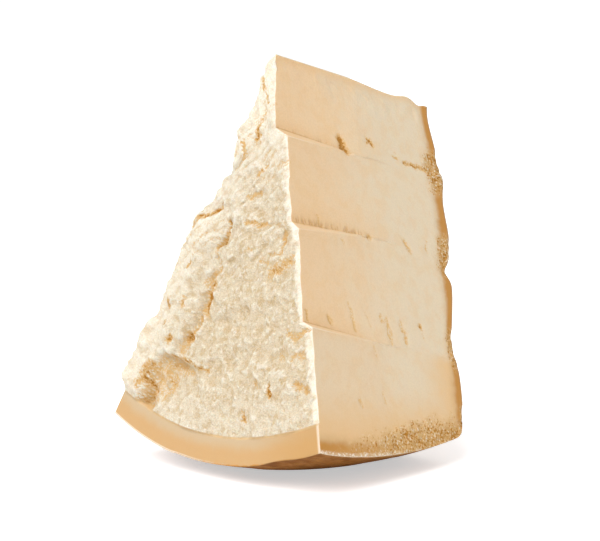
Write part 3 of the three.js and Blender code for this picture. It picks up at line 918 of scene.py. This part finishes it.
def rind_section(colours):
    """The rind where a cut or a break goes through it: paste, then scored paste, then the rind
    itself. Depth is the distance in from the rind, and Rim is the rind's width, in millimetres."""
    n, given, out = node_group(
        "rind_section", ["Paste", "Depth", "Rim", "Scored", "Tone"], ["Colour"])
    uneven = n.plus(given["Depth"], n.times(given["Tone"], 1.4))
    warm = n.coat(colours.scored, colours.scored_pale, n.ease(uneven, 6.0, 12.5))
    paste = n.coat(given["Paste"], warm, given["Scored"])
    into = n.math("DIVIDE", uneven, given["Rim"])
    paste = n.coat(paste, colours.scored, n.ease(into, 0.5, 2.0, 0.9, 0.0))
    n.set(out["Colour"], n.coat(paste, colours.rim, n.ease(into, 0.7, 1.35, 1.0, 0.0)))
    return n.tree


def paste_shader(n, colour, rough, height, distance, gloss=0.3):
    """The Principled shader of the paste, with light that spreads a little under its surface."""
    bump = n.add("ShaderNodeBump", {"Height": height, "Strength": 0.8, "Distance": distance})
    shader = n.add("ShaderNodeBsdfPrincipled", {
        "Base Color": colour, "Roughness": rough, "Normal": bump.outputs[0],
        "Subsurface Weight": 0.15, "Subsurface Radius": (1.0, 0.6, 0.3),
        "Subsurface Scale": 0.002, "Specular IOR Level": gloss})
    n.add("ShaderNodeOutputMaterial", {0: shader.outputs[0]})


def empty_material(name):
    """A new material without nodes, and the calls that fill its tree."""
    material = bpy.data.materials.new(name)
    material.use_nodes = True
    material.node_tree.nodes.clear()
    return material, Nodes(material.node_tree)


def textured(n, groups, size):
    """What every finish starts from: the place on the wheel, crumbs of a size and the slow tone."""
    place = n.stored("wheel_mm", "Vector")
    crumbs = n.place(groups.grain, Place=place, Crumbs=size)
    return place, crumbs, n.place(groups.tone, Place=place)["Tone"]


def broken_paste(n, colours, groups):
    """Dry paste that broke open: cream crumbs with painted highlights on their crests, tan patches,
    gaps and hollows with painted warm shade, brown cracks, and a smooth scored band towards the
    rind."""
    place, crumbs, slow = textured(n, groups, 1.0)
    patch = n.place(groups.patches, Place=place, Size=4.5)["Patch"]
    gaps, open_paste, pale_and_lit = crumbs["Gaps"], n.stored("open_paste"), n.stored("pale_and_lit")
    sunk, broad = n.stored("sunk_fine"), n.stored("sunk_broad")
    rind, from_cut = n.stored("rind_mm"), n.stored("from_cut")
    scored = n.minus(1.0, open_paste)

    # the open paste: slow tone, pale places that are partly painted light, painted warm shade in
    # the hollows and gaps with tan patches, and painted highlights on the crests
    colour = n.coat(colours.broken, colours.cut_pale, slow, 0.35)
    colour = n.coat(colour, colours.pale_crumb_and_highlight, pale_and_lit, 0.85)
    # painted warm shade in the hollows, together with the real tan patches
    low = n.ease(n.plus(broad, n.times(sunk, 0.5)), 0.0, 0.9, 0.0, 0.75)
    warm = n.math("MAXIMUM", low, n.times(patch, n.ease(pale_and_lit, 0.0, 1.0, 0.9, 0.35)))
    colour = n.coat(colour, colours.crevice_tan_and_shade, warm)
    # the gaps between the crumbs tinted tan: tan paste and painted shade
    colour = n.coat(colour, colours.stain_and_shade, n.ease(gaps, 0.0, 0.4, 0.0, 0.22))
    # painted highlight on the crests and sharp edges
    crest_for_highlight = n.plus(sunk, n.times(broad, 0.7))
    colour = n.coat(colour, colours.pale_crumb_and_highlight, n.ease(crest_for_highlight, -0.1, -1.0, 0.0, 0.55))
    # painted shade: a fine speckle darkens the grain, less on the pale places
    colour = n.shade(colour, crumbs["GritShade"], n.ease(pale_and_lit, 0.2, 1.0, 0.18, 0.07))
    # The brown read here also holds the painted shade in the hollow below the lip.
    colour = n.place(groups.stain_and_shade, Paste=colour, Brown=n.stored("brown"), Gaps=gaps)["Colour"]

    # the scored band: warmer next to the cut, a painted shadow line along its seam with the open
    # paste, a pale outer edge, and a pale corner that is partly a painted highlight along the cut's
    # edge
    colour = n.place(groups.section, Paste=colour, Depth=rind, Rim=1.0, Scored=scored,
                     Tone=slow)["Colour"]
    colour = n.coat(colour, colours.scored_deep_and_valley_shade, scored, n.stored("scored_warm"))
    # painted shadow: a darker line where the rough paste overhangs the scored band
    colour = n.coat(colour, colours.stain_and_shade, scored, open_paste, 2.4)
    outer = n.times(n.ease(rind, 1.3, 0.4), n.ease(from_cut, 50.0, 120.0))
    colour = n.coat(colour, colours.pale_crumb_and_highlight, outer, scored, 0.6)
    # a pale strip along the cut's edge, partly painted highlight
    colour = n.coat(colour, colours.pale_crumb_and_highlight, scored, n.ease(from_cut, 1.9, 0.7, 0.0, 0.4))
    height = n.times(crumbs["Height"], n.ease(open_paste, 0.0, 1.0, 0.12, 1.0),
                     n.ease(pale_and_lit, 0.5, 1.0, 1.0, 0.6))
    paste_shader(n, colour, n.ease(open_paste, 0.0, 1.0, 0.5, 0.8), height, 0.0017)


def cut_paste(n, colours, groups):
    """Paste that a knife smoothed: warmer above each ledge, at the tip and near the rind, paler
    towards the flat rind, with torn ticks above the ledges and clumps of brown crumbs where the
    rind crumbled."""
    place, crumbs, slow = textured(n, groups, 0.85)
    patch = n.place(groups.patches, Place=place, Size=7.0)["Patch"]
    depth = n.add("ShaderNodeSeparateXYZ", {0: place}).outputs[1]
    gaps, sunk, rind = crumbs["Gaps"], n.stored("sunk_fine"), n.stored("rind_mm")
    pressed, crumbly = n.stored("pressed"), n.stored("crumbly")
    last_stroke = n.stored("last_stroke")

    # the smoothed paste
    towards = n.ease(n.plus(depth, n.times(slow, 18.0)), 15.0, 90.0)
    towards = n.math("MAXIMUM", towards, n.times(last_stroke, 0.55))
    colour = n.coat(colours.cut, colours.cut_pale, towards)
    colour = n.coat(colour, colours.cut_warm, patch, 0.22)
    ticks = n.noise(n.vectors("MULTIPLY", place, (0.16, 0.8, 0.16)), 1.0, 3.0, 0.6)
    torn = n.times(n.ease(ticks, 0.50, 0.64), n.ease(pressed, 0.25, 0.9))
    colour = n.coat(colour, colours.cut_warm, pressed, 0.75)
    colour = n.coat(colour, colours.rim, torn, 0.5)
    tip = n.minus(1.0, n.ease(n.stored("from_tip"), 0.0, 6.0))
    colour = n.coat(colour, colours.cut_warm, tip, 0.5)
    # painted shade: a fine speckle darkens the grain a little
    colour = n.shade(colour, crumbs["GritShade"], 0.045)
    colour = n.coat(colour, colours.cut_warm, n.ease(rind, 4.0, 36.0, 0.85, 0.0), last_stroke)
    colour = n.place(groups.section, Paste=colour, Depth=rind, Rim=6.0, Scored=0.0,
                     Tone=slow)["Colour"]
    colour = n.place(groups.stain_and_shade, Paste=colour, Brown=n.stored("brown"), Gaps=gaps)["Colour"]

    # the crumbly rind: a stain, brown clumps with dark cores, and pale crumbs between them
    colour = n.coat(colour, colours.stain_and_shade, crumbly, 0.85)
    clods = n.times(n.minus(n.noise(place, 0.85, 2.0, 0.5), 0.5), 1.7)
    clods = n.plus(clods, n.times(gaps, 0.35))
    clumps = n.plus(n.plus(n.times(crumbly, 0.26), n.times(patch, 0.16)), clods)
    specks = n.times(n.ease(clumps, 0.36, 0.56), n.ease(crumbly, 0.0, 0.4))
    colour = n.coat(colour, colours.rim, specks)
    colour = n.coat(colour, colours.crack, n.ease(clumps, 0.5, 0.68, 0.0, 0.8), specks)
    colour = n.coat(colour, colours.pale_crumb_and_highlight, n.ease(clods, -0.1, -0.28, 0.0, 0.5), crumbly)

    # painted highlights on the crests, painted shade in the valleys over the ledges, and the pale
    # edge of the rind below the last stroke
    colour = n.coat(colour, colours.pale_crumb_and_highlight, n.ease(sunk, -0.5, -1.0, 0.0, 0.45))
    colour = n.coat(colour, colours.scored_deep_and_valley_shade, n.ease(sunk, 0.3, 0.9, 0.0, 0.5),
                    n.ease(pressed, 0.1, 0.5))
    border = n.times(n.ease(rind, 2.4, 0.8), n.ease(depth, 64.0, 38.0))
    colour = n.coat(colour, colours.pale_crumb_and_highlight, border, n.ease(gaps, 0.2, -0.15, 0.2, 0.7), last_stroke)
    height = n.times(crumbs["Height"], n.ease(crumbly, 0.0, 1.0, 0.1, 1.0))
    height = n.minus(height, n.times(torn, 0.35))
    paste_shader(n, colour, n.ease(crumbly, 0.0, 1.0, 0.45, 0.8), height, 0.0012)


def oiled_rind(n, colours, groups):
    """The outside of the rind: golden brown, mottled, with fine pores, and paler on its crests."""
    _, crumbs, slow = textured(n, groups, 0.35)
    colour = n.coat(colours.rind, colours.rind_dark, slow)
    colour = n.coat(colour, colours.rind_dark, n.ease(crumbs["Gaps"], 0.0, 0.4, 0.0, 0.35))
    # paler on the crests
    paler_on_crests = n.ease(n.stored("sunk_fine"), -0.25, -1.0, 0.0, 0.7)
    colour = n.coat(colour, colours.scored, paler_on_crests)
    colour = n.coat(colour, colours.rim, n.ease(n.stored("crumbly"), 0.2, 0.9, 0.0, 0.6))
    height = n.times(crumbs["Height"], 0.35)
    paste_shader(n, colour, n.ease(slow, 0.0, 1.0, 0.48, 0.65), height, 0.001, 0.18)


# --- Operators ---


class CHEESE_OT_wedge(Operator):
    """Build the wedge with its broken, cut and rind faces"""

    bl_idname = "cheese.build_wedge"
    bl_label = "Build Wedge"
    bl_options = {"REGISTER", "UNDO"}

    def execute(self, context):
        scene = context.scene
        sizes, colours = scene.cheese_wheel, scene.cheese_colours
        wheel = Wheel(sizes, scene.cheese_crumb)
        coarser = 1
        plain, triangles, finish = wedge_surface(
            wheel, sizes.ring_spacing * MM * coarser, sizes.rows // coarser)
        m = wheel.measure(plain)
        moved, brown, pale_and_lit, crumbly = wheel.move(m)
        piece = put_mesh("broken_cheese_wedge", wheel.stand(moved) / MM, triangles, finish)

        def sunk(passes, full):
            depth = sunken(moved, triangles, round(passes / coarser))
            return np.clip(depth / full, -1, 1)

        rind = np.minimum(m.from_flat, m.from_side)
        values = {
            "wheel_mm": plain,
            "rind_mm": rind,
            "open_paste": smooth(wheel.score - SCORE_EASE, wheel.score + SCORE_EASE,
                                 np.where(m.from_back < 1, rind, m.from_side)),
            "sunk_fine": sunk(*FINE_BLUR),
            "sunk_broad": sunk(*BROAD_BLUR),
            # brown of cracks and stains, with the painted shade in the hollow below the lip
            "brown": brown,
            "pale_and_lit": pale_and_lit,
            "crumbly": crumbly,
            "pressed": wheel.pressed(m),
            "last_stroke": smooth(*LAST_STROKE, m.along),
            "from_tip": m.r,
            "from_cut": m.from_cut,
            "scored_warm": 0.75 * fade(5, 50, m.from_cut),
        }
        for name, value in values.items():
            put_values(piece.data, name, value)
        groups = SimpleNamespace(
            grain=crumb_grain(), tone=soft_tone(), patches=tan_patches(),
            section=rind_section(colours), stain_and_shade=crack_stain_and_shade(colours))
        for paint in (broken_paste, cut_paste, oiled_rind):
            material, n = empty_material(paint.__name__)
            paint(n, colours, groups)
            piece.data.materials.append(material)
        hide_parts(NODE)
        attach(piece, "root")
        return {"FINISHED"}


class CHEESE_OT_stage(Operator):
    """Set the pale floor, the soft studio light and the camera"""

    bl_idname = "cheese.set_stage"
    bl_label = "Set Stage"
    bl_options = {"REGISTER", "UNDO"}

    def execute(self, context):
        scene = context.scene
        stage = scene.cheese_stage
        half = 6.0
        corners = half * np.array([[-1, -1, 0], [1, -1, 0], [1, 1, 0], [-1, 1, 0]])
        floor = put_mesh("floor", corners, np.array([[0, 1, 2], [0, 2, 3]]))
        floor.data.materials.append(self.pale_floor(stage))
        scene.world = self.studio(stage)
        self.sun("key_light", stage.key_from, stage.key, stage.key_width)

        camera = bpy.data.cameras.new("camera")
        camera.lens = stage.lens
        camera.sensor_width = 36.0
        camera.clip_start, camera.clip_end = 0.01, 50.0
        scene.camera = bpy.data.objects.new("camera", camera)
        scene.camera.location = stage.camera_place
        scene.camera.rotation_euler = stage.camera_turn
        scene.collection.objects.link(scene.camera)
        scene.view_settings.view_transform = "Standard"
        scene.view_settings.look = "None"
        scene.view_settings.exposure = 0.0
        return {"FINISHED"}

    def pale_floor(self, stage):
        """A white sheet that glows a little to the camera, so that shadows on it stay pale."""
        material, n = empty_material("pale_floor")
        seen = n.add("ShaderNodeLightPath").outputs["Is Camera Ray"]
        shader = n.add("ShaderNodeBsdfPrincipled", {
            "Base Color": rgba(stage.floor), "Roughness": 0.9, "Specular IOR Level": 0.2,
            "Emission Color": rgba((1.0, 1.0, 1.0)),
            "Emission Strength": n.times(seen, stage.floor_glow)})
        n.add("ShaderNodeOutputMaterial", {0: shader.outputs[0]})
        return material

    def studio(self, stage):
        """A white room: it shows white behind the wedge and lights it evenly from all round."""
        shown = 1.05
        world = bpy.data.worlds.new("studio")
        world.use_nodes = True
        n = Nodes(world.node_tree)
        seen = n.add("ShaderNodeLightPath").outputs["Is Camera Ray"]
        background = world.node_tree.nodes["Background"]
        n.set(background.inputs[0], rgba((1.0, 1.0, 1.0)))
        n.set(background.inputs[1], n.ease(seen, 0.0, 1.0, stage.surround, shown))
        return world

    def sun(self, name, direction, power, width):
        """A wide, even light that comes from one direction."""
        light = bpy.data.lights.new(name, "SUN")
        light.energy, light.angle = power, width
        lamp = bpy.data.objects.new(name, light)
        x, y, z = direction
        lamp.rotation_euler = (math.acos(z / math.sqrt(x * x + y * y + z * z)), 0.0,
                               math.atan2(y, x) + math.pi / 2)
        lamp.location = (x, y, z)
        bpy.context.scene.collection.objects.link(lamp)


class CHEESE_PT_panel(Panel):
    """Sizes, colours and the two steps"""

    bl_idname = "CHEESE_PT_panel"
    bl_label = "Cheese Wedge"
    bl_space_type = "VIEW_3D"
    bl_region_type = "UI"
    bl_category = "Cheese"

    def draw(self, context):
        steps = ((CHEESE_OT_wedge, ("cheese_wheel", "cheese_crumb", "cheese_colours")),
                 (CHEESE_OT_stage, ("cheese_stage",)))
        for operator, names in steps:
            for name in names:
                group, box = getattr(context.scene, name), self.layout.box()
                for key in group.bl_rna.properties.keys():
                    if key not in ("rna_type", "name"):
                        box.prop(group, key)
            self.layout.operator(operator.bl_idname)


GROUPS = {"cheese_wheel": WheelSizes, "cheese_crumb": CrumbSizes,
          "cheese_colours": CheeseColours, "cheese_stage": StageSettings}
CLASSES = (*GROUPS.values(), CHEESE_OT_wedge, CHEESE_OT_stage, CHEESE_PT_panel)


def register():
    for cls in CLASSES:
        bpy.utils.register_class(cls)
    for name, group in GROUPS.items():
        setattr(bpy.types.Scene, name, PointerProperty(type=group))


def unregister():
    for name in GROUPS:
        delattr(bpy.types.Scene, name)
    for cls in reversed(CLASSES):
        bpy.utils.unregister_class(cls)


def main():
    """Registers the add-on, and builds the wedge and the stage."""
    register()
    bpy.ops.cheese.build_wedge()
    bpy.ops.cheese.set_stage()
    bpy.context.view_layer.update()


if __name__ == "__main__":
    main()
